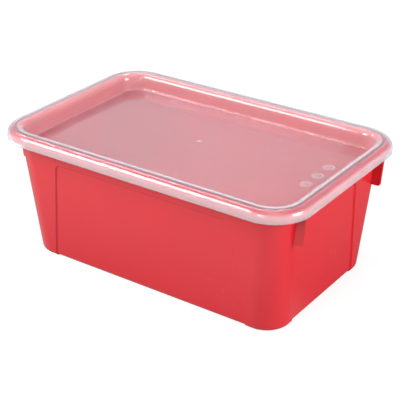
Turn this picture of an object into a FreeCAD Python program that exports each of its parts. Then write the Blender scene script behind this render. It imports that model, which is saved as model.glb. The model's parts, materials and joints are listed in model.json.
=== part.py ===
import FreeCAD, Part
import math
import os

from FreeCAD import Vector

# Small storage box for art supplies: a drafted tub and a clear lid that presses over its rim.
# Millimetres. +X runs along the long side, +Z is up, and the origin is on the ground under the middle.
# A "section" is drawn in (u, z): u is the distance inwards from the lid's outline, z the height.

# Lid
LID_LENGTH = 310.0
LID_WIDTH = 201.0
LID_CORNER_RADIUS = 35.0
OVERALL_HEIGHT = 125.0
DOME_RADIUS = 7.1  # both shoulders of the hollow edge
CREST_FLAT = 2.0  # level strip between the two shoulders
LID_SKIRT = 3.4  # straight part of the edge, below its outer shoulder
PANEL_DEPTH = 15.5  # from the crest down to the sunk panel
PANEL_WALL_DRAFT = 12.0  # degrees, of the wall round the sunk panel
PANEL_CORNER_RADIUS = 2.0
PANEL_MARGIN = 3.0  # flat part of the panel that is drawn with the edge's section
LID_WALL = 1.5
LID_PANEL_WALL = 1.6
EDGE_BREAK = 0.25  # chamfer on both sides of a free edge, as a share of its wall

# Rim of the tub, inside the lid's hollow edge
RIM_CLEARANCE = 0.4
RIM_WALL = 2.2
RIM_LIP = 1.5  # straight part of the rim's lip, below its outer shoulder
SEAT_BEAD_SHARE = 0.6  # of the crest's width, for the low bead on which the lid sits

# Tub
TUB_WALL = 2.0
WALL_CLEARANCE = 1.1  # between the tub's wall and the lid's inner wall
WALL_DRAFT = 4.6  # degrees
BASE_EDGE_RADIUS = 5.0
FLOOR_WALL = 2.2
FOOT_HEIGHT = 1.2
FOOT_WIDTH = 9.0

# Sunk panels in the four walls, wider at the foot than at the top so that they leave the mould
SUNK_DEPTH = 1.2
SUNK_TOP_DROP = 14.0  # below the lid's free edge
SUNK_CORNER_RADIUS = 6.0
SUNK_SIDE_SLOPE = 45.0  # degrees, of the step round the panel
LONG_SUNK_GAP = 4.8  # from the panel's foot to the wall's rounded corner
LONG_SUNK_FLARE = 7.8  # degrees
END_SUNK_GAP = 3.2
END_SUNK_FLARE = 10.2

# Gusset tabs under the end rims, on both sides of the hand hold
TAB_OFFSET = 0.5  # tab's middle, past the end of the rim's straight run
TAB_WALL = 2.2
TAB_DROP = 34.9  # below the rim's underside
TAB_EDGE_DRAFT = 4.3  # degrees
TAB_CORNER_RADIUS = 2.5

# Heights and offsets that follow from the sizes above
LID_EDGE_Z = OVERALL_HEIGHT - DOME_RADIUS - LID_SKIRT
PANEL_Z = OVERALL_HEIGHT - PANEL_DEPTH
SEAT_Z = OVERALL_HEIGHT - LID_WALL
RIM_TOP_Z = SEAT_Z - RIM_CLEARANCE
RIM_UNDER_Z = RIM_TOP_Z - RIM_WALL
RIM_LIP_Z = OVERALL_HEIGHT - DOME_RADIUS - RIM_LIP
RIM_OUTSIDE = LID_WALL + RIM_CLEARANCE
RIM_SHOULDER = DOME_RADIUS - RIM_OUTSIDE
CREST_START = DOME_RADIUS
CREST_END = DOME_RADIUS + CREST_FLAT
WALL_LEAN = math.tan(math.radians(WALL_DRAFT))
WALL_TOP_INSET = CREST_END + DOME_RADIUS - LID_WALL - WALL_CLEARANCE - TUB_WALL
WALL_CORNER_RADIUS = LID_CORNER_RADIUS - WALL_TOP_INSET
BASE_INSET = WALL_TOP_INSET + RIM_UNDER_Z * WALL_LEAN
BASE_LENGTH = LID_LENGTH - 2 * BASE_INSET
BASE_WIDTH = LID_WIDTH - 2 * BASE_INSET
FLOOR_Z = FOOT_HEIGHT + FLOOR_WALL
SUNK_TOP_Z = LID_EDGE_Z - SUNK_TOP_DROP
SUNK_REACH = 2 * BASE_EDGE_RADIUS  # a panel's cutter goes this far in, past the rounded foot
TAB_FOOT_Z = RIM_UNDER_Z - TAB_DROP

OVERCUT = 3.0  # how far a cutter runs past what it cuts
TOLERANCE = 1e-4
SQUARE = ((1, 1), (-1, 1), (-1, -1), (1, -1))  # signs of a rectangle's corners, in order


def rounded_wire(corners):
    """Closed wire through (point, radius) corners in one plane; a radius above 0 rounds its corner."""
    ends = []
    for i, (point, radius) in enumerate(corners):
        before = (corners[i - 1][0] - point).normalize()
        after = (corners[(i + 1) % len(corners)][0] - point).normalize()
        if radius <= 0:
            ends.append((point, None, point))
            continue
        half = before.getAngle(after) / 2
        tangent = radius / math.tan(half)
        centre = point + (before + after).normalize() * (radius / math.sin(half))
        middle = centre + (point - centre).normalize() * radius
        ends.append((point + before * tangent, middle, point + after * tangent))
    edges = []
    for i, (start, middle, end) in enumerate(ends):
        if middle is not None:
            edges.append(Part.Arc(start, middle, end).toShape())
        following = ends[(i + 1) % len(ends)][0]
        if end.distanceToPoint(following) > TOLERANCE:
            edges.append(Part.makeLine(end, following))
    return Part.Wire(edges)


def rounded_rectangle(length, width, radius, z):
    """Level rounded rectangle, centred on the Z axis."""
    return rounded_wire([(Vector(sx * length / 2, sy * width / 2, z), radius) for sx, sy in SQUARE])


def ring(section):
    """Carries a (u, z, radius) section once round the lid's outline: four straight runs and four corners."""
    up = Vector(0, 0, 1)
    pieces = []
    for quarter in range(4):
        reach, other = (LID_LENGTH, LID_WIDTH) if quarter % 2 == 0 else (LID_WIDTH, LID_LENGTH)
        reach = reach / 2
        run = other - 2 * LID_CORNER_RADIUS
        corners = [(Vector(reach - u, -run / 2, z), radius) for u, z, radius in section]
        face = Part.Face(rounded_wire(corners))
        straight = face.extrude(Vector(0, run, 0))
        end_face = face.translated(Vector(0, run, 0))
        corner = end_face.revolve(Vector(reach - LID_CORNER_RADIUS, run / 2, 0), up, 90)
        for piece in (straight, corner):
            piece.rotate(Vector(0, 0, 0), up, 90 * quarter)
            pieces.append(piece)
    return pieces[0].multiFuse(pieces[1:]).removeSplitter()


def wall_corners(z, inset):
    """Corners of the drafted tub's four flat walls at a height, moved inwards by inset, before rounding."""
    growth = z * WALL_LEAN - inset
    half_length = BASE_LENGTH / 2 + growth
    half_width = BASE_WIDTH / 2 + growth
    return [Vector(sx * half_length, sy * half_width, z) for sx, sy in SQUARE]


def edges_at(shape, z):
    """Edges that lie level at a height."""
    boxes = [(edge, edge.BoundBox) for edge in shape.Edges]
    return [edge for edge, box in boxes if max(abs(box.ZMin - z), abs(box.ZMax - z)) < TOLERANCE]


def drafted_block(foot_z, top_z, inset, edge_radius):
    """Full drafted solid between two heights, moved inwards by inset, with round corners and a rounded foot."""
    foot = wall_corners(foot_z, inset)
    top = wall_corners(top_z, inset)
    faces = [Part.Face(Part.makePolygon(top + top[:1])), Part.Face(Part.makePolygon((foot + foot[:1])[::-1]))]
    for i in range(4):
        j = (i + 1) % 4
        faces.append(Part.Face(Part.makePolygon([foot[i], foot[j], top[j], top[i], foot[i]])))
    block = Part.makeSolid(Part.makeShell(faces))
    level = edges_at(block, foot_z) + edges_at(block, top_z)
    upright = [edge for edge in block.Edges if not any(edge.isSame(other) for other in level)]
    block = block.makeFillet(WALL_CORNER_RADIUS - inset, upright)
    return block.makeFillet(edge_radius, edges_at(block, foot_z))


def tub_block(sunk=0.0):
    """Outside of the tub as a full solid."""
    return drafted_block(0.0, RIM_UNDER_Z, sunk, BASE_EDGE_RADIUS)


def tub_cavity(sunk=0.0):
    """Inside of the tub, open at the top."""
    return drafted_block(FLOOR_Z, OVERALL_HEIGHT + OVERCUT, TUB_WALL + sunk, BASE_EDGE_RADIUS - TUB_WALL)


def rim_section():
    """Rolled-over rim: a shoulder that follows the lid's hollow edge, a seat bead and a short lip."""
    in_wall = WALL_TOP_INSET + TUB_WALL / 2
    past_wall = CREST_END + RIM_SHOULDER
    middle = (CREST_START + CREST_END) / 2
    half_bead = SEAT_BEAD_SHARE * CREST_FLAT / 2
    lip_inside = RIM_OUTSIDE + RIM_WALL
    chamfer = EDGE_BREAK * RIM_WALL
    return [
        (RIM_OUTSIDE + chamfer, RIM_LIP_Z, 0),
        (RIM_OUTSIDE, RIM_LIP_Z + chamfer, 0),
        (RIM_OUTSIDE, RIM_TOP_Z, RIM_SHOULDER),
        (middle - half_bead, RIM_TOP_Z, 0),
        (middle - half_bead, SEAT_Z, 0),
        (middle + half_bead, SEAT_Z, 0),
        (middle + half_bead, RIM_TOP_Z, 0),
        (past_wall, RIM_TOP_Z, RIM_SHOULDER),
        (past_wall, RIM_LIP_Z, 0),
        (in_wall, RIM_LIP_Z, 0),
        (in_wall, RIM_UNDER_Z, 0),
        (lip_inside, RIM_UNDER_Z, RIM_SHOULDER - RIM_WALL),
        (lip_inside, RIM_LIP_Z + chamfer, 0),
        (lip_inside - chamfer, RIM_LIP_Z, 0),
    ]


def sunk_panel(half_width, flare, reach, turn, back=0.0):
    """Cutter for one sunk panel, on the wall that faces +X at a distance, turned about Z.

    back moves it inwards along the wall's normal, for the matching raised panel inside the tub.
    """
    lean = math.radians(WALL_DRAFT)
    normal = Vector(math.cos(lean), 0, -math.sin(lean))
    rise = Vector(math.sin(lean), 0, math.cos(lean))
    along = Vector(0, 1, 0)
    foot = Vector(reach, 0, 0)
    narrowing = math.tan(math.radians(flare))
    leg_length = 1 / math.cos(math.radians(flare))
    top = SUNK_TOP_Z / math.cos(lean)

    def outline(depth):
        # The step slopes, so the outline shrinks evenly as it goes deeper.
        shrink = depth / math.tan(math.radians(SUNK_SIDE_SLOPE))
        low = -OVERCUT
        high = top - shrink
        rounding = SUNK_CORNER_RADIUS - shrink
        origin = foot - normal * (depth + back)
        corners = []
        for side, height, radius in ((-1, low, 0), (1, low, 0), (1, high, rounding), (-1, high, rounding)):
            half = half_width - shrink * leg_length - height * narrowing
            point = origin + along * (side * half) + rise * height
            corners.append((point, radius))
        return rounded_wire(corners)

    mouth = Part.makeLoft([outline(-OVERCUT), outline(SUNK_DEPTH)], True, True)
    pocket = Part.Face(outline(SUNK_DEPTH)).extrude(normal * -SUNK_REACH)
    cutter = mouth.fuse(pocket)
    cutter.rotate(Vector(0, 0, 0), Vector(0, 0, 1), turn)
    return cutter


def sunk_panels(back=0.0):
    """The four panel cutters."""
    long_half = BASE_LENGTH / 2 - WALL_CORNER_RADIUS - LONG_SUNK_GAP
    end_half = BASE_WIDTH / 2 - WALL_CORNER_RADIUS - END_SUNK_GAP
    long_side = (long_half, LONG_SUNK_FLARE, BASE_WIDTH / 2)
    end = (end_half, END_SUNK_FLARE, BASE_LENGTH / 2)
    walls = ((end, 0), (long_side, 90), (end, 180), (long_side, 270))
    return [sunk_panel(*wall, turn, back) for wall, turn in walls]


def gusset_tabs():
    """Four thin plates that hang from the end rims; their inner ends run into the tub and are cut off there.

    The top of a plate stays within the rim's wall, so that it clears the lid.
    """
    end_x = LID_LENGTH / 2
    top = RIM_UNDER_Z + RIM_WALL / 2
    edge_x = end_x - RIM_OUTSIDE - RIM_WALL / 2
    foot_x = edge_x - (top - TAB_FOOT_Z) * math.tan(math.radians(TAB_EDGE_DRAFT))
    crest_x = end_x - CREST_END
    wall_x = end_x - WALL_TOP_INSET - TUB_WALL / 2
    root_x = BASE_LENGTH / 2 - TUB_WALL
    middle_y = LID_WIDTH / 2 - LID_CORNER_RADIUS + TAB_OFFSET
    tabs = []
    for side in (-1, 1):
        y = side * middle_y - TAB_WALL / 2
        corners = [
            (Vector(root_x, y, TAB_FOOT_Z), 0),
            (Vector(foot_x, y, TAB_FOOT_Z), TAB_CORNER_RADIUS),
            (Vector(edge_x, y, top), RIM_SHOULDER - RIM_WALL / 2),
            (Vector(crest_x, y, top), 0),
            (Vector(wall_x, y, RIM_UNDER_Z), 0),
        ]
        plate = Part.Face(rounded_wire(corners)).extrude(Vector(0, TAB_WALL, 0))
        tabs.append(plate)
        tabs.append(plate.mirror(Vector(0, 0, 0), Vector(1, 0, 0)))
    return tabs


def foot_recess():
    """Shallow recess under the floor, which leaves a foot all round."""
    inset = BASE_EDGE_RADIUS + FOOT_WIDTH
    length = BASE_LENGTH - 2 * inset
    width = BASE_WIDTH - 2 * inset
    outline = rounded_rectangle(length, width, WALL_CORNER_RADIUS - inset, -OVERCUT)
    return Part.Face(outline).extrude(Vector(0, 0, OVERCUT + FOOT_HEIGHT))


def make_tub():
    """Tub: drafted block with sunk panels, rim and tabs, less the cavity and the foot recess."""
    sunk_by = SUNK_DEPTH / math.cos(math.radians(WALL_DRAFT))
    body = tub_block().cut([panel.cut(tub_block(sunk_by)) for panel in sunk_panels()])
    body = body.multiFuse([ring(rim_section())] + gusset_tabs())
    raised = [panel.cut(tub_cavity(sunk_by)) for panel in sunk_panels(TUB_WALL)]
    return body.cut([tub_cavity().cut(raised), foot_recess()]).removeSplitter()


def lid_section():
    """Hollow domed edge, the wall round the sunk panel and the panel's margin, at an even wall."""
    draft = math.radians(PANEL_WALL_DRAFT)
    slope = math.tan(draft)
    turn = math.tan((math.pi / 2 - draft) / 2)
    inner = DOME_RADIUS - LID_WALL
    shoulder = CREST_END + DOME_RADIUS * turn
    shoulder_in = CREST_END + inner * turn
    under_z = PANEL_Z - LID_PANEL_WALL
    wall_foot = shoulder + PANEL_DEPTH * slope
    wall_foot_in = shoulder_in + (SEAT_Z - under_z) * slope
    margin = wall_foot + PANEL_MARGIN
    chamfer = EDGE_BREAK * LID_WALL
    return [
        (chamfer, LID_EDGE_Z, 0),
        (0, LID_EDGE_Z + chamfer, 0),
        (0, OVERALL_HEIGHT, DOME_RADIUS),
        (shoulder, OVERALL_HEIGHT, DOME_RADIUS),
        (wall_foot, PANEL_Z, PANEL_CORNER_RADIUS),
        (margin, PANEL_Z, 0),
        (margin, under_z, 0),
        (wall_foot_in, under_z, PANEL_CORNER_RADIUS + LID_WALL),
        (shoulder_in, SEAT_Z, inner),
        (LID_WALL, SEAT_Z, inner),
        (LID_WALL, LID_EDGE_Z + chamfer, 0),
        (LID_WALL - chamfer, LID_EDGE_Z, 0),
    ]


def make_lid():
    """Lid: the edge carried round the outline, closed by the sunk panel."""
    section = lid_section()
    margin = max(u for u, z, radius in section)
    length = LID_LENGTH - 2 * margin
    width = LID_WIDTH - 2 * margin
    outline = rounded_rectangle(length, width, LID_CORNER_RADIUS - margin, PANEL_Z - LID_PANEL_WALL)
    panel = Part.Face(outline).extrude(Vector(0, 0, LID_PANEL_WALL))
    return ring(section).fuse(panel).removeSplitter()


os.makedirs("parts", exist_ok=True)
for name, shape in (("tub", make_tub()), ("lid", make_lid())):
    solids = shape.Solids
    print(name, "solids", len(solids), "valid", shape.isValid(), "cm3", round(shape.Volume / 1000, 1))
    solids[0].exportStep(os.path.join("parts", name + ".step"))
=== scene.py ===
"""Looks of a small art supply box: a red moulded tub under a clear lid, dressed around its CAD frame."""

import json
import math

import bpy
import numpy as np
from mathutils import Matrix, Vector


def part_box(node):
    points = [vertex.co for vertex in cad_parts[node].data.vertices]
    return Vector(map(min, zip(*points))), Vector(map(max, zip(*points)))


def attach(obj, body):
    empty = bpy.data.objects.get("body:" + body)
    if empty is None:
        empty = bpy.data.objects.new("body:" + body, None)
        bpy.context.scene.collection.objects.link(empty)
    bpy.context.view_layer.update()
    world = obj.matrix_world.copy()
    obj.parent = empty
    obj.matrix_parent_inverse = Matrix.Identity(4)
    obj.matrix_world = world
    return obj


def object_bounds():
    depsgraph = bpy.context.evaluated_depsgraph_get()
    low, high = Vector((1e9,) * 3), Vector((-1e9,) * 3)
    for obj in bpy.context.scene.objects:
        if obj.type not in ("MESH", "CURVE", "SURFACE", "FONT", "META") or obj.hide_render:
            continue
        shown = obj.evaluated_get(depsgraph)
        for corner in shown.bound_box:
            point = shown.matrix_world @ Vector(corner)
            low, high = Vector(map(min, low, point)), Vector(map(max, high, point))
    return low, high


bl_info = {
    "name": "Art supply box",
    "version": (1, 0, 0),
    "blender": (4, 5, 0),
    "location": "3D View > Sidebar > Art box",
    "description": "Moulded plastic finishes, lid marks, camera and light for a lidded storage box",
    "category": "Object",
}

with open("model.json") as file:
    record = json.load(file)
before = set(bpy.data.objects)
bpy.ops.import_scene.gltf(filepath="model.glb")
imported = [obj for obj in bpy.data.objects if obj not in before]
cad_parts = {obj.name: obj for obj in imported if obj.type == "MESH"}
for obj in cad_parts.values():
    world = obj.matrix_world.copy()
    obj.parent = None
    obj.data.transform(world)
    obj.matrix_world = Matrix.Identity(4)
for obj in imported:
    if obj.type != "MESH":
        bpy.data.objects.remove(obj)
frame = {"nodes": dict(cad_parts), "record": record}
CAD_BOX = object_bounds()

MM = 0.001
LID_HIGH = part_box("lid")[1]
STACKING_SEAT = next(m for m in frame["record"]["mounts"] if m["name"] == "stacking_seat")
LID_PANEL_Z = STACKING_SEAT["pos_m"][2]
LID_CORNER_RADIUS = 35.0 * MM

# Zones of the lid, by distance inwards from its outline: whole up to the first value, gone at the second.
FREE_EDGE_ZONE = (0.0, 2.84 * MM)
DOME_ZONE = (5.6 * MM, 9.6 * MM)
DOME_AND_WALL_ZONE = (17.6 * MM, 24.0 * MM)
# Share of the sunk walls' haze that the dome does without.
DOME_CLEARNESS = 0.75

PLASTIC_IOR = 1.49
# Roughness of the cleanest and of the most smudged skin, as factors of the mean.
SMUDGE_SPREAD = (0.9, 1.15)
# Scratches: turn in radians, and how finely the noise runs along each axis.
SCRATCH_FIELDS = (
    (0.35, (900.0, 900.0, 26.0)),
    (-0.9, (30.0, 1100.0, 1100.0)),
)

MARK_COUNT = 3
# Inner ring of a mark: radius as a share of the outer ring's, waves, and their depth as a share of it.
INNER_RING_SHARE = 1 / 3
INNER_RING_WAVES = 3
INNER_RING_WAVE_DEPTH = 0.25
# Points across a bead and round its ring, and how far its feet lie below the panel as a share of its relief.
BEAD_POINTS = 11
RING_POINTS = 96
BEAD_FOOT_SHARE = 0.1

# The camera's sensor in millimetres, and the floor in metres.
SENSOR_WIDTH = 36.0
FLOOR_RADIUS = 3.0
FLOOR_STEPS = 64
FLOOR_WHITENESS = (0.30, 0.33)
# Where the floor's lift starts to rise and where it is full, in half lengths of the box from its middle.
FLOOR_LIFT_SPAN = (1.5, 4.0)
# Where reflections start to lose the floor's lift, in half widths of the box in front of its middle. The
# lift that reflections see is painted light on the floor in front of the box; behind it they see a darker
# floor.
FLOOR_MIRROR_SPAN = 1.5
LIGHT_TARGET = Vector((0.0, 0.0, 0.10))
# Lamps: name, direction from the box, length along the box and width in metres, brightness.
SOFT_LIGHTS = (
    ("key_light", (-0.529, -0.605, 0.594), (0.45, 0.55), 13.0),
    ("top_strip", (-0.565, 0.125, 0.815), (0.90, 0.10), 12.5),
    ("overhead_light", (0.184, -0.198, 0.963), (0.45, 0.10), 11.0),
    ("back_light", (-0.180, 0.500, 0.847), (0.26, 0.14), 14.0),
    ("side_light", (0.930, 0.060, 0.350), (0.50, 0.50), 14.5),
    ("front_light", (0.080, -0.890, 0.450), (0.32, 0.32), 13.0),
)


class ArtBoxFinish(bpy.types.PropertyGroup):
    """Colours and surface of the two mouldings."""

    tub_colour: bpy.props.FloatVectorProperty(
        name="Tub colour",
        description="Pigment of the opaque tub, as linear colour",
        subtype="COLOR",
        size=3,
        min=0.0,
        max=1.0,
        default=(0.80, 0.021, 0.033),
    )
    tub_roughness: bpy.props.FloatProperty(
        name="Tub roughness",
        description="Mean roughness of the tub's moulded skin",
        subtype="FACTOR",
        min=0.0,
        max=1.0,
        default=0.20,
    )
    lid_colour: bpy.props.FloatVectorProperty(
        name="Lid colour",
        description="Tint of the clear lid, as linear colour",
        subtype="COLOR",
        size=3,
        min=0.0,
        max=1.0,
        default=(0.93, 0.945, 0.97),
    )
    edge_tint: bpy.props.FloatVectorProperty(
        name="Edge tint",
        description="Further tint of the lid's domed edge, where light goes through more plastic",
        subtype="COLOR",
        size=3,
        min=0.0,
        max=1.0,
        default=(0.91, 0.93, 0.98),
    )
    lid_clarity: bpy.props.FloatProperty(
        name="Lid clarity",
        description="Share of the light in the lid's body that goes through it and isn't scattered back",
        subtype="FACTOR",
        min=0.0,
        max=1.0,
        default=1.0,
    )
    lid_haze: bpy.props.FloatProperty(
        name="Lid haze",
        description="Cool pale haze of the lid's body, strongest where it is seen at a slant",
        subtype="FACTOR",
        min=0.0,
        max=1.0,
        default=0.08,
    )
    lid_roughness: bpy.props.FloatProperty(
        name="Lid roughness",
        description="Mean roughness of the lid's polished outside",
        subtype="FACTOR",
        min=0.0,
        max=1.0,
        default=0.08,
    )
    lid_blur: bpy.props.FloatProperty(
        name="Lid blur",
        description="Roughness inside the lid's panel, which blurs what is seen through it",
        subtype="FACTOR",
        min=0.0,
        max=1.0,
        default=0.55,
    )
    rim_blur: bpy.props.FloatProperty(
        name="Rim blur",
        description="Roughness inside the lid's domed edge and sunk walls, which are clearer than its panel",
        subtype="FACTOR",
        min=0.0,
        max=1.0,
        default=0.22,
    )
    wall_haze: bpy.props.FloatProperty(
        name="Wall haze",
        description="Share of the free edge's pale haze that lies on the lid's sunk walls",
        subtype="FACTOR",
        min=0.0,
        max=1.0,
        default=0.42,
    )


class ArtBoxMarks(bpy.types.PropertyGroup):
    """Small moulded marks on the lid's panel."""

    ring_diameter: bpy.props.FloatProperty(
        name="Ring diameter",
        description="Middle line of each round mark",
        unit="LENGTH",
        min=1.0 * MM,
        max=20.0 * MM,
        default=9.2 * MM,
    )
    ring_bead: bpy.props.FloatProperty(
        name="Ring bead",
        description="Width of the raised bead that draws a mark",
        unit="LENGTH",
        min=0.2 * MM,
        max=2.0 * MM,
        default=0.7 * MM,
    )
    relief: bpy.props.FloatProperty(
        name="Relief",
        description="Height of the marks over the panel",
        unit="LENGTH",
        min=0.02 * MM,
        max=1.0 * MM,
        default=0.04 * MM,
    )
    ring_spacing: bpy.props.FloatProperty(
        name="Ring spacing",
        description="Distance between neighbouring marks",
        unit="LENGTH",
        min=5.0 * MM,
        max=50.0 * MM,
        default=19.8 * MM,
    )
    ring_place: bpy.props.FloatVectorProperty(
        name="Ring place",
        description="Middle mark on the panel",
        subtype="TRANSLATION",
        size=2,
        default=(117.5 * MM, 9.8 * MM),
    )
    gate_diameter: bpy.props.FloatProperty(
        name="Gate diameter",
        description="Round mark left where the plastic was let into the mould",
        unit="LENGTH",
        min=1.0 * MM,
        max=20.0 * MM,
        default=4.2 * MM,
    )
    gate_place: bpy.props.FloatVectorProperty(
        name="Gate place",
        description="Gate mark on the panel",
        subtype="TRANSLATION",
        size=2,
        default=(-5.9 * MM, 11.0 * MM),
    )


class ArtBoxStage(bpy.types.PropertyGroup):
    """Camera, lamps and floor."""

    azimuth: bpy.props.FloatProperty(
        name="Azimuth",
        description="Camera's turn about the box from the front towards the right end",
        subtype="ANGLE",
        default=math.radians(35.1),
    )
    elevation: bpy.props.FloatProperty(
        name="Elevation",
        description="Camera's angle above the horizon",
        subtype="ANGLE",
        default=math.radians(26.98),
    )
    distance: bpy.props.FloatProperty(
        name="Distance",
        description="From the camera to the point it looks at",
        unit="LENGTH",
        default=1.0351,
    )
    target: bpy.props.FloatVectorProperty(
        name="Target",
        description="Point that the camera looks at",
        subtype="TRANSLATION",
        size=3,
        default=(1.94 * MM, 1.41 * MM, 56.1 * MM),
    )
    lens: bpy.props.FloatProperty(
        name="Lens",
        description="Focal length on a 36 mm sensor, in millimetres",
        min=1.0,
        default=102.06,
    )
    light_level: bpy.props.FloatProperty(
        name="Light level",
        description="Factor on the brightness of all lamps",
        min=0.0,
        default=1.0,
    )
    light_distance: bpy.props.FloatProperty(
        name="Light distance",
        description="From the box to the lamps",
        unit="LENGTH",
        default=1.2,
    )
    fill: bpy.props.FloatProperty(
        name="Fill",
        description="Even light from the white surroundings",
        min=0.0,
        default=0.12,
    )
    floor_glow: bpy.props.FloatProperty(
        name="Floor glow",
        description="Lift of the floor towards white near the box, where the camera sees it",
        min=0.0,
        default=0.78,
    )
    # Painted light: reflections see this lift only in front of the box, and the floor behind it darker.
    mirrored_glow: bpy.props.FloatProperty(
        name="Mirrored glow",
        description="Share of the floor's lift that a reflection sees in front of the box; none behind it",
        subtype="FACTOR",
        min=0.0,
        max=1.0,
        default=0.85,
    )


def add_node(tree, kind, inputs=None, **settings):
    """Adds a shader node, with its settings and the values of its named or numbered inputs."""
    node = tree.nodes.new(kind)
    for key, value in settings.items():
        setattr(node, key, value)
    for key, value in (inputs or {}).items():
        node.inputs[key].default_value = value
    return node


def new_group(name, inputs, outputs):
    """Shader node group with named float inputs and outputs, and its two end nodes."""
    tree = bpy.data.node_groups.new(name, "ShaderNodeTree")
    for way, labels in (("INPUT", inputs), ("OUTPUT", outputs)):
        for label in labels:
            tree.interface.new_socket(label, in_out=way, socket_type="NodeSocketFloat")
    return tree, tree.nodes.new("NodeGroupInput"), tree.nodes.new("NodeGroupOutput")


def moulded_skin_group():
    """Skin of an injection moulding.

    Height is fine noise, as the grain of the tool steel, mixed with a wide weak swell, as the plastic's
    shrinkage. Tone is a slow drift about 1 with flow lines, for the colour.
    """
    tree, given, result = new_group(
        "moulded_skin",
        ("Grain scale", "Swell scale", "Swell share", "Tone depth"),
        ("Height", "Tone"),
    )
    link = tree.links.new
    place = add_node(tree, "ShaderNodeTexCoord")
    grain = add_node(tree, "ShaderNodeTexNoise", {"Detail": 3.0, "Roughness": 0.6})
    swell = add_node(tree, "ShaderNodeTexNoise", {"Detail": 1.0, "Roughness": 0.4})
    drift = add_node(tree, "ShaderNodeTexNoise", {"Scale": 9.0, "Detail": 4.0, "Distortion": 0.6})
    for noise in (grain, swell, drift):
        link(place.outputs["Object"], noise.inputs["Vector"])
    link(given.outputs["Grain scale"], grain.inputs["Scale"])
    link(given.outputs["Swell scale"], swell.inputs["Scale"])
    height = add_node(tree, "ShaderNodeMix", data_type="FLOAT")
    link(given.outputs["Swell share"], height.inputs["Factor"])
    link(grain.outputs["Fac"], height.inputs["A"])
    link(swell.outputs["Fac"], height.inputs["B"])
    centred = add_node(tree, "ShaderNodeMath", {1: 0.5}, operation="SUBTRACT")
    link(drift.outputs["Fac"], centred.inputs[0])
    tone = add_node(tree, "ShaderNodeMath", {2: 1.0}, operation="MULTIPLY_ADD")
    link(centred.outputs[0], tone.inputs[0])
    link(given.outputs["Tone depth"], tone.inputs[1])
    link(height.outputs["Result"], result.inputs["Height"])
    link(tone.outputs[0], result.inputs["Tone"])
    return tree


def handling_wear_group():
    """Wear from handling: thin scratches in two directions, in patches.

    Each scratch field is noise stretched far along one direction and cut to its thin bright lines.
    Mask is 0 on clean skin and up to Amount in a scratch; Smudge is a soft cloud for the roughness.
    """
    tree, given, result = new_group("handling_wear", ("Amount", "Patch scale"), ("Mask", "Smudge"))
    link = tree.links.new
    place = add_node(tree, "ShaderNodeTexCoord")
    both = add_node(tree, "ShaderNodeMath", operation="MAXIMUM")
    for field, (turn, stretch) in enumerate(SCRATCH_FIELDS):
        way = {"Rotation": (turn, turn / 2, turn), "Scale": stretch}
        mapping = add_node(tree, "ShaderNodeMapping", way)
        noise = add_node(tree, "ShaderNodeTexNoise", {"Scale": 1.0, "Detail": 1.0})
        cut = add_node(tree, "ShaderNodeMapRange", {"From Min": 0.70, "From Max": 0.80})
        link(place.outputs["Object"], mapping.inputs["Vector"])
        link(mapping.outputs["Vector"], noise.inputs["Vector"])
        link(noise.outputs["Fac"], cut.inputs["Value"])
        link(cut.outputs["Result"], both.inputs[field])
    patch = add_node(tree, "ShaderNodeTexNoise", {"Detail": 3.0})
    link(place.outputs["Object"], patch.inputs["Vector"])
    link(given.outputs["Patch scale"], patch.inputs["Scale"])
    area = add_node(tree, "ShaderNodeMapRange", {"From Min": 0.45, "From Max": 0.70})
    link(patch.outputs["Fac"], area.inputs["Value"])
    worn = add_node(tree, "ShaderNodeMath", operation="MULTIPLY")
    link(both.outputs[0], worn.inputs[0])
    link(area.outputs["Result"], worn.inputs[1])
    mask = add_node(tree, "ShaderNodeMath", operation="MULTIPLY")
    link(worn.outputs[0], mask.inputs[0])
    link(given.outputs["Amount"], mask.inputs[1])
    link(mask.outputs[0], result.inputs["Mask"])
    link(area.outputs["Result"], result.inputs["Smudge"])
    return tree


def edge_zone_group():
    """Mask along a rounded rectangle's outline, seen from above.

    It is 1 as far inwards as Start, and 0 from Reach on. The distance inwards is that of a rounded box: with
    q = |xy| - half size + corner radius, it is the radius less the length of q's positive part, less the
    larger of q where both are negative.
    """
    tree, given, result = new_group(
        "edge_zone",
        ("Half length", "Half width", "Corner radius", "Start", "Reach"),
        ("Mask",),
    )
    link = tree.links.new

    def maths(operation, first, second=0.0):
        node = add_node(tree, "ShaderNodeMath", operation=operation)
        for socket, value in zip(node.inputs, (first, second)):
            if isinstance(value, float):
                socket.default_value = value
            else:
                link(value, socket)
        return node.outputs[0]

    place = add_node(tree, "ShaderNodeTexCoord")
    axes = add_node(tree, "ShaderNodeSeparateXYZ")
    link(place.outputs["Object"], axes.inputs["Vector"])
    beyond = []
    for axis, half in (("X", "Half length"), ("Y", "Half width")):
        straight = maths("SUBTRACT", given.outputs[half], given.outputs["Corner radius"])
        beyond.append(maths("SUBTRACT", maths("ABSOLUTE", axes.outputs[axis]), straight))
    squares = [maths("POWER", maths("MAXIMUM", part, 0.0), 2.0) for part in beyond]
    rounding = maths("SQRT", maths("ADD", *squares))
    flat = maths("MINIMUM", maths("MAXIMUM", *beyond), 0.0)
    inwards = maths("SUBTRACT", given.outputs["Corner radius"], maths("ADD", rounding, flat))
    fall = {"To Min": 1.0, "To Max": 0.0}
    fade = add_node(tree, "ShaderNodeMapRange", fall, interpolation_type="SMOOTHSTEP")
    link(inwards, fade.inputs["Value"])
    link(given.outputs["Start"], fade.inputs["From Min"])
    link(given.outputs["Reach"], fade.inputs["From Max"])
    link(fade.outputs["Result"], result.inputs["Mask"])
    return tree


def place_group(tree, maker, values):
    """Puts the group that a maker builds into a material with its own values; the group is made once."""
    name = maker.__name__.removesuffix("_group")
    group = bpy.data.node_groups.get(name) or maker()
    return add_node(tree, "ShaderNodeGroup", values, node_tree=group)


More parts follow.
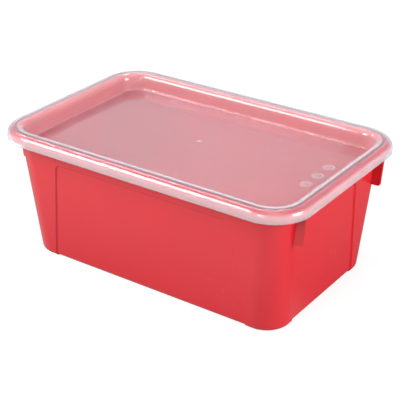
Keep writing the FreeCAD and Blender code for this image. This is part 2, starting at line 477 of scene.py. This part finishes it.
def plastic(name, colour, roughness, bump, skin, wear, worn_roughness, fixed, body_roughness=None):
    """Moulded plastic: toned colour, roughness with smudges and scratches, and the skin's bump.

    fixed holds the Principled values that are the same all over the surface. body_roughness, for a clear
    plastic, blurs the light that leaves its body, while the reflection on the outside stays sharp.
    """
    material = bpy.data.materials.new(name)
    material.use_nodes = True
    tree = material.node_tree
    link = tree.links.new
    shader = tree.nodes["Principled BSDF"]
    for key, value in fixed.items():
        shader.inputs[key].default_value = value
    skin_node = place_group(tree, moulded_skin_group, skin)
    wear_node = place_group(tree, handling_wear_group, wear)
    toned = add_node(tree, "ShaderNodeVectorMath", {0: colour}, operation="SCALE")
    link(skin_node.outputs["Tone"], toned.inputs["Scale"])
    link(toned.outputs["Vector"], shader.inputs["Base Color"])
    clean, smudged = (roughness * factor for factor in SMUDGE_SPREAD)
    smudge = add_node(tree, "ShaderNodeMapRange", {"To Min": clean, "To Max": smudged})
    link(wear_node.outputs["Smudge"], smudge.inputs["Value"])
    rough = add_node(tree, "ShaderNodeMix", {"B": worn_roughness}, data_type="FLOAT")
    link(wear_node.outputs["Mask"], rough.inputs["Factor"])
    link(smudge.outputs["Result"], rough.inputs["A"])
    surface = rough.outputs["Result"]
    if body_roughness is not None:
        side = add_node(tree, "ShaderNodeNewGeometry")
        hazy = add_node(tree, "ShaderNodeMix", {"B": body_roughness}, data_type="FLOAT", name="body")
        link(side.outputs["Backfacing"], hazy.inputs["Factor"])
        link(surface, hazy.inputs["A"])
        surface = hazy.outputs["Result"]
    link(surface, shader.inputs["Roughness"])
    relief = add_node(tree, "ShaderNodeBump", {"Strength": 1.0, "Distance": bump})
    link(skin_node.outputs["Height"], relief.inputs["Height"])
    link(relief.outputs["Normal"], shader.inputs["Normal"])
    return material


def tub_plastic(finish):
    """Opaque red polypropylene with a satin gloss."""
    return plastic(
        "tub_red_plastic",
        finish.tub_colour,
        finish.tub_roughness,
        bump=0.06 * MM,
        skin={"Grain scale": 1400.0, "Swell scale": 12.0, "Swell share": 0.7, "Tone depth": 0.10},
        wear={"Amount": 0.35, "Patch scale": 16.0},
        worn_roughness=0.45,
        fixed={"IOR": PLASTIC_IOR},
    )


def clear_plastic(name, finish, fixed, body_roughness=None):
    """Clear polypropylene, polished outside; its rough coat stands for a pale haze."""
    return plastic(
        name,
        finish.lid_colour,
        finish.lid_roughness,
        bump=0.01 * MM,
        skin={"Grain scale": 900.0, "Swell scale": 9.0, "Swell share": 0.8, "Tone depth": 0.04},
        wear={"Amount": 0.3, "Patch scale": 14.0},
        worn_roughness=0.3,
        fixed={"Transmission Weight": finish.lid_clarity, "Coat Roughness": 0.9, **fixed},
        body_roughness=body_roughness,
    )


def lid_plastic(finish):
    """Clear plastic of the lid, in zones that follow its outline.

    The pale haze is full on the free edge, weak on the dome and stronger on the sunk walls. The dome has a
    further cool tint. The dome and the walls are less blurred inside than the panel.
    """
    material = clear_plastic(
        "lid_clear_plastic",
        finish,
        fixed={
            "IOR": PLASTIC_IOR,
            "Coat IOR": 4.0,
            "Sheen Weight": finish.lid_haze,
            "Sheen Roughness": 0.5,
            "Sheen Tint": (0.25, 0.32, 1.0, 1.0),
        },
        body_roughness=finish.lid_blur,
    )
    tree = material.node_tree
    link = tree.links.new
    shader = tree.nodes["Principled BSDF"]
    outline = {"Half length": LID_HIGH[0], "Half width": LID_HIGH[1], "Corner radius": LID_CORNER_RADIUS}

    def zone(start, reach):
        span = {"Start": start, "Reach": reach}
        return place_group(tree, edge_zone_group, {**outline, **span}).outputs["Mask"]

    free_edge = zone(*FREE_EDGE_ZONE)
    dome = zone(*DOME_ZONE)
    dome_and_wall = zone(*DOME_AND_WALL_ZONE)

    # Haze = wall haze (dome and wall - clearness dome) + free edge.
    wall = add_node(tree, "ShaderNodeMath", {1: -DOME_CLEARNESS}, operation="MULTIPLY_ADD")
    link(dome, wall.inputs[0])
    link(dome_and_wall, wall.inputs[2])
    share = {1: finish.wall_haze}
    haze = add_node(tree, "ShaderNodeMath", share, operation="MULTIPLY_ADD", use_clamp=True)
    link(wall.outputs[0], haze.inputs[0])
    link(free_edge, haze.inputs[2])
    link(haze.outputs[0], shader.inputs["Coat Weight"])

    blur = add_node(tree, "ShaderNodeMapRange", {"To Min": finish.lid_blur, "To Max": finish.rim_blur})
    link(dome_and_wall, blur.inputs["Value"])
    link(blur.outputs["Result"], tree.nodes["body"].inputs["B"])

    # The mix node has sockets of several types under the same names, so its colours are picked by type.
    cooler = add_node(tree, "ShaderNodeMix", data_type="RGBA", blend_type="MULTIPLY")
    body_colour, tint = (socket for socket in cooler.inputs if socket.type == "RGBA")
    tint.default_value = (*finish.edge_tint, 1.0)
    link(dome, cooler.inputs["Factor"])
    link(shader.inputs["Base Color"].links[0].from_socket, body_colour)
    tinted = next(socket for socket in cooler.outputs if socket.type == "RGBA")
    link(tinted, shader.inputs["Base Color"])
    return material


def mark_plastic(finish):
    """Clear plastic of the low marks on the panel, which show only faintly against it; made once."""
    name = "lid_mark_plastic"
    fixed = {"IOR": 1.2, "Coat Weight": 0.3, "Coat IOR": 3.0}
    return bpy.data.materials.get(name) or clear_plastic(name, finish, fixed)


def dress(node_name, material):
    """Gives a CAD node its finished material."""
    slots = frame["nodes"][node_name].material_slots
    if not slots:
        raise RuntimeError(f"{node_name} has no material slot")
    for slot in slots:
        slot.material = material


def grid_faces(rows, columns):
    """Quads of a rows by columns grid of points, closed along the columns' direction."""
    row, column = np.meshgrid(np.arange(rows - 1), np.arange(columns), indexing="ij")
    after = (column + 1) % columns
    low, high = row * columns, (row + 1) * columns
    corners = [low + column, low + after, high + after, high + column]
    return np.stack(corners, axis=-1).reshape(-1, 4)


def mesh_object(name, points, faces, material):
    """Smooth mesh object from an array of points and an array of quads."""
    mesh = bpy.data.meshes.new(name)
    mesh.from_pydata(points.reshape(-1, 3), [], faces.tolist())
    mesh.shade_smooth()
    mesh.materials.append(material)
    piece = bpy.data.objects.new(name, mesh)
    bpy.context.scene.collection.objects.link(piece)
    return piece


def bead_ring(centre, radius, bead, relief, waves=0, wave_depth=0.0):
    """Low raised bead along a circle on the lid's panel, with soft sides.

    Point = centre + (r cos a, r sin a, z) for s from -1 to 1 across the bead, with
    r = radius (1 + wave_depth cos(waves a)) + s bead / 2. z runs as 1 + cos(pi s) from the feet, which lie a
    little below the panel, up to the relief.
    """
    across = np.linspace(-1.0, 1.0, BEAD_POINTS)
    turn = np.linspace(0.0, 2 * math.pi, RING_POINTS, endpoint=False)
    s, a = np.meshgrid(across, turn, indexing="ij")
    r = radius * (1 + wave_depth * np.cos(waves * a)) + s * bead / 2
    rise = (1 + np.cos(math.pi * s)) / 2
    z = LID_PANEL_Z + relief * ((1 + BEAD_FOOT_SHARE) * rise - BEAD_FOOT_SHARE)
    return np.stack([centre[0] + r * np.cos(a), centre[1] + r * np.sin(a), z], axis=-1)


def lid_mark(name, rings, finish):
    """Low mark of bead rings on the lid's panel, as one piece that goes with the lid."""
    faces = grid_faces(BEAD_POINTS, RING_POINTS)
    points_each = BEAD_POINTS * RING_POINTS
    quads = np.concatenate([faces + number * points_each for number in range(len(rings))])
    piece = mesh_object(name, np.stack(rings), quads, mark_plastic(finish))
    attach(piece, "lid")


class ARTBOX_OT_tub(bpy.types.Operator):
    """Finish the moulded tub"""

    bl_idname = "artbox.tub"
    bl_label = "Tub"

    def execute(self, context):
        dress("tub", tub_plastic(context.scene.artbox_finish))
        return {"FINISHED"}


class ARTBOX_OT_lid(bpy.types.Operator):
    """Finish the clear lid"""

    bl_idname = "artbox.lid"
    bl_label = "Lid"

    def execute(self, context):
        dress("lid", lid_plastic(context.scene.artbox_finish))
        return {"FINISHED"}


class ARTBOX_OT_lid_marks(bpy.types.Operator):
    """Raise the small round moulding marks on the lid's panel"""

    bl_idname = "artbox.lid_marks"
    bl_label = "Lid marks"

    def execute(self, context):
        marks = context.scene.artbox_marks
        bead = (marks.ring_bead, marks.relief)
        radius = marks.ring_diameter / 2
        inner_radius = radius * INNER_RING_SHARE
        for number in range(MARK_COUNT):
            steps = number - (MARK_COUNT - 1) / 2
            centre = (marks.ring_place[0], marks.ring_place[1] + steps * marks.ring_spacing)
            rings = [
                bead_ring(centre, radius, *bead),
                bead_ring(centre, inner_radius, *bead, INNER_RING_WAVES, INNER_RING_WAVE_DEPTH),
            ]
            lid_mark(f"lid_mark_{number + 1}", rings, context.scene.artbox_finish)
        return {"FINISHED"}


class ARTBOX_OT_gate_mark(bpy.types.Operator):
    """Raise the gate mark in the middle of the lid's panel"""

    bl_idname = "artbox.gate_mark"
    bl_label = "Gate mark"

    def execute(self, context):
        marks = context.scene.artbox_marks
        ring = bead_ring(marks.gate_place, marks.gate_diameter / 2, marks.ring_bead, marks.relief)
        lid_mark("lid_gate_mark", [ring], context.scene.artbox_finish)
        return {"FINISHED"}


def seen_share(tree, mirrored=None):
    """How much a ray sees of a surface's full white.

    It is 1 for a ray from the camera or through a clear body, the mirrored socket's value for a reflection,
    or 1 where there is no such socket, and 0 for any other ray.
    """
    link = tree.links.new
    path = add_node(tree, "ShaderNodeLightPath")
    straight = add_node(tree, "ShaderNodeMath", operation="MAXIMUM")
    weaker = add_node(tree, "ShaderNodeMath", {1: 1.0}, operation="MULTIPLY")
    seen = add_node(tree, "ShaderNodeMath", operation="MAXIMUM")
    link(path.outputs["Is Camera Ray"], straight.inputs[0])
    link(path.outputs["Is Transmission Ray"], straight.inputs[1])
    link(path.outputs["Is Glossy Ray"], weaker.inputs[0])
    if mirrored is not None:
        link(mirrored, weaker.inputs[1])
    link(straight.outputs[0], seen.inputs[0])
    link(weaker.outputs[0], seen.inputs[1])
    return seen.outputs[0]


def white_world(fill):
    """World that lights evenly at the fill level and is plain white where it is seen."""
    world = bpy.data.worlds.new("white_room")
    bpy.context.scene.world = world
    world.use_nodes = True
    tree = world.node_tree
    background = tree.nodes["Background"]
    background.inputs["Color"].default_value = (1.0, 1.0, 1.0, 1.0)
    strength = add_node(tree, "ShaderNodeMix", {"A": fill, "B": 1.0}, data_type="FLOAT")
    tree.links.new(seen_share(tree), strength.inputs["Factor"])
    tree.links.new(strength.outputs["Result"], background.inputs["Strength"])


def floor_material(glow, mirrored):
    """Matt floor that is lifted to white where it is seen, and keeps the box's shadow.

    The lift rises to full white away from the box. In reflections it fades out from the front of the box to
    its middle: painted light on the floor in front of the box that only reflections see, so that in them the
    floor behind the box is darker, as painted shade.
    """
    material = bpy.data.materials.new("studio_floor")
    material.use_nodes = True
    tree = material.node_tree
    tree.nodes.clear()
    link = tree.links.new

    def spread(start, end, low, high):
        limits = {"From Min": start, "From Max": end, "To Min": low, "To Max": high}
        return add_node(tree, "ShaderNodeMapRange", limits)

    near, far = (CAD_BOX[1][0] * factor for factor in FLOOR_LIFT_SPAN)
    front = CAD_BOX[0][1] * FLOOR_MIRROR_SPAN
    place = add_node(tree, "ShaderNodeTexCoord")
    axes = add_node(tree, "ShaderNodeSeparateXYZ")
    grain = add_node(tree, "ShaderNodeTexNoise", {"Scale": 3.0, "Detail": 2.0})
    away = add_node(tree, "ShaderNodeVectorMath", operation="LENGTH")
    tint = spread(0.0, 1.0, *FLOOR_WHITENESS)
    lift = spread(near, far, glow, 1.0)
    # Painted light on the floor in front of the box, for reflections only; behind the box they see it
    # darker.
    share = spread(front, 0.0, mirrored, 0.0)
    level = add_node(tree, "ShaderNodeMath", operation="MULTIPLY")
    matt = add_node(tree, "ShaderNodeBsdfDiffuse")
    glow_node = add_node(tree, "ShaderNodeEmission")
    total = add_node(tree, "ShaderNodeAddShader")
    output = add_node(tree, "ShaderNodeOutputMaterial")
    for user in (axes, grain, away):
        link(place.outputs["Object"], user.inputs[0])
    link(grain.outputs["Fac"], tint.inputs["Value"])
    link(tint.outputs["Result"], matt.inputs["Color"])
    link(away.outputs["Value"], lift.inputs["Value"])
    link(axes.outputs["Y"], share.inputs["Value"])
    link(seen_share(tree, share.outputs["Result"]), level.inputs[0])
    link(lift.outputs["Result"], level.inputs[1])
    link(level.outputs[0], glow_node.inputs["Strength"])
    link(matt.outputs[0], total.inputs[0])
    link(glow_node.outputs[0], total.inputs[1])
    link(total.outputs[0], output.inputs["Surface"])
    return material


def studio_floor(stage):
    """Round floor with a pinhole under the middle of the box."""
    turn = np.linspace(0.0, 2 * math.pi, FLOOR_STEPS, endpoint=False)
    r, a = np.meshgrid(np.array([1.0 * MM, FLOOR_RADIUS]), turn, indexing="ij")
    points = np.stack([r * np.cos(a), r * np.sin(a), np.zeros_like(r)], axis=-1)
    upward_faces = grid_faces(*r.shape)[:, ::-1]
    surface = floor_material(stage.floor_glow, stage.mirrored_glow)
    return mesh_object("studio_floor", points, upward_faces, surface)


def soft_light(name, direction, distance, size, radiance):
    """Rectangular lamp of an even brightness that faces the box, with its length along the box's length."""
    lamp = bpy.data.lights.new(name, "AREA")
    lamp.shape = "RECTANGLE"
    lamp.size, lamp.size_y = size
    lamp.energy = radiance * math.pi * size[0] * size[1]
    outwards = Vector(direction).normalized()
    across = outwards.cross((1.0, 0.0, 0.0)).normalized()
    along = across.cross(outwards)
    holder = bpy.data.objects.new(name, lamp)
    holder.location = LIGHT_TARGET + outwards * distance
    holder.rotation_euler = Matrix((along, across, outwards)).transposed().to_euler()
    bpy.context.scene.collection.objects.link(holder)


def photo_camera(stage):
    """Camera that looks at the target from the stage's azimuth, elevation and distance."""
    eye = bpy.data.cameras.new("camera")
    eye.lens = stage.lens
    eye.sensor_width = SENSOR_WIDTH
    camera = bpy.data.objects.new("camera", eye)
    level = math.cos(stage.elevation)
    away = Vector((
        math.sin(stage.azimuth) * level,
        -math.cos(stage.azimuth) * level,
        math.sin(stage.elevation),
    ))
    camera.location = Vector(stage.target) + away * stage.distance
    camera.rotation_euler = (-away).to_track_quat("-Z", "Y").to_euler()
    bpy.context.scene.collection.objects.link(camera)
    return camera


class ARTBOX_OT_stage(bpy.types.Operator):
    """Set the floor, the lamps, the white surroundings and the camera"""

    bl_idname = "artbox.stage"
    bl_label = "Stage"

    def execute(self, context):
        stage = context.scene.artbox_stage
        context.scene.view_settings.view_transform = "Standard"
        white_world(stage.fill)
        floor = studio_floor(stage)
        for name, direction, size, radiance in SOFT_LIGHTS:
            soft_light(name, direction, stage.light_distance, size, radiance * stage.light_level)
        context.scene.camera = photo_camera(stage)
        return {"FINISHED"}


class ARTBOX_PT_panel(bpy.types.Panel):
    """Lists the steps that dress the box, and their values"""

    bl_idname = "ARTBOX_PT_panel"
    bl_label = "Art box"
    bl_space_type = "VIEW_3D"
    bl_region_type = "UI"
    bl_category = "Art box"

    def draw(self, context):
        for operator in OPERATORS:
            self.layout.operator(operator.bl_idname)
        for name in GROUPS:
            group = getattr(context.scene, name)
            box = self.layout.box()
            for value in group.__annotations__:
                box.prop(group, value)


OPERATORS = (ARTBOX_OT_tub, ARTBOX_OT_lid, ARTBOX_OT_lid_marks, ARTBOX_OT_gate_mark, ARTBOX_OT_stage)
GROUPS = {"artbox_finish": ArtBoxFinish, "artbox_marks": ArtBoxMarks, "artbox_stage": ArtBoxStage}


def register():
    """Registers the values, the operators and the panel."""
    for group in GROUPS.values():
        bpy.utils.register_class(group)
    for operator in OPERATORS:
        bpy.utils.register_class(operator)
    bpy.utils.register_class(ARTBOX_PT_panel)
    for name, group in GROUPS.items():
        setattr(bpy.types.Scene, name, bpy.props.PointerProperty(type=group))


def unregister():
    """Takes back what register did."""
    for name in GROUPS:
        delattr(bpy.types.Scene, name)
    bpy.utils.unregister_class(ARTBOX_PT_panel)
    for operator in reversed(OPERATORS):
        bpy.utils.unregister_class(operator)
    for group in reversed(GROUPS.values()):
        bpy.utils.unregister_class(group)


def main():
    """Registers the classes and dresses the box."""
    register()
    bpy.ops.artbox.tub()
    bpy.ops.artbox.lid()
    bpy.ops.artbox.lid_marks()
    bpy.ops.artbox.gate_mark()
    bpy.ops.artbox.stage()


if __name__ == "__main__":
    main()
